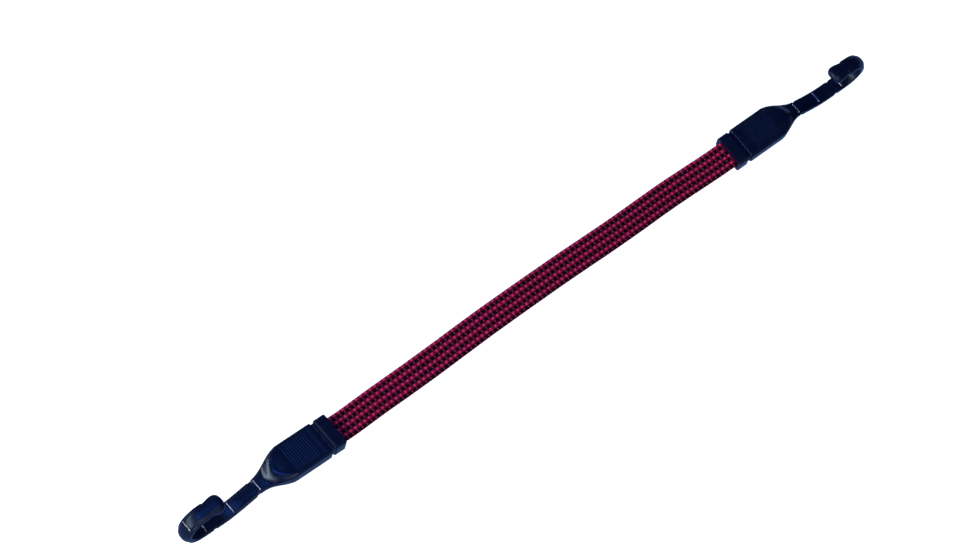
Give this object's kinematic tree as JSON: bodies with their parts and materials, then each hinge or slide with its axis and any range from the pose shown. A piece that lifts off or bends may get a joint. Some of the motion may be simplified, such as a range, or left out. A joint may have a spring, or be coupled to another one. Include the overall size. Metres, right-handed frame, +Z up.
{
  "type": "bungee cord",
  "caption": "Flat woven elastic tie-down cord with a moulded hook over a steel core at each end; it stretches to hold loads and springs back.",
  "frame": {"origin": "on the surface the cord lies on, under the middle of the two fittings", "axes": "+X along the cord towards the far fitting, +Y across it, +Z up, the way the hooks open"},
  "size_m": [0.612, 0.0281, 0.0327],
  "materials": {
    "shell_plastic": "black moulded plastic with a faint navy cast, satin to glossy",
    "collar_plastic": "black moulded plastic with a navy cast, satin",
    "core_steel": "bright rolled strip",
    "crimp_steel": "zinc plated pressing",
    "woven_sheath": "plain woven crimson and black yarn, dull",
    "strand_rubber": "natural latex, matt"
  },
  "bodies": {
    "near_end": {"hook_shell_a": "shell_plastic", "mouth_collar_a": "collar_plastic", "steel_core_a": "core_steel", "strap_crimp_a": "crimp_steel", "core_rivet_a": "crimp_steel", "strap_sheath": "woven_sheath", "rubber_strand_1": "strand_rubber", "rubber_strand_2": "strand_rubber", "rubber_strand_3": "strand_rubber", "rubber_strand_4": "strand_rubber", "rubber_strand_5": "strand_rubber", "rubber_strand_6": "strand_rubber", "rubber_strand_7": "strand_rubber", "rubber_strand_8": "strand_rubber"},
    "far_end": {"hook_shell_b": "shell_plastic", "mouth_collar_b": "collar_plastic", "steel_core_b": "core_steel", "strap_crimp_b": "crimp_steel", "core_rivet_b": "crimp_steel"}
  },
  "joints": [
    {"name": "stretch", "type": "slide", "parent": "near_end", "child": "far_end", "axis": [1, 0, 0], "range_m": [0, 0.3], "stiffness_N_per_m": 300, "deforming": ["strap_sheath", "rubber_strand_1", "rubber_strand_2", "rubber_strand_3", "rubber_strand_4", "rubber_strand_5", "rubber_strand_6", "rubber_strand_7", "rubber_strand_8"]}
  ]
}
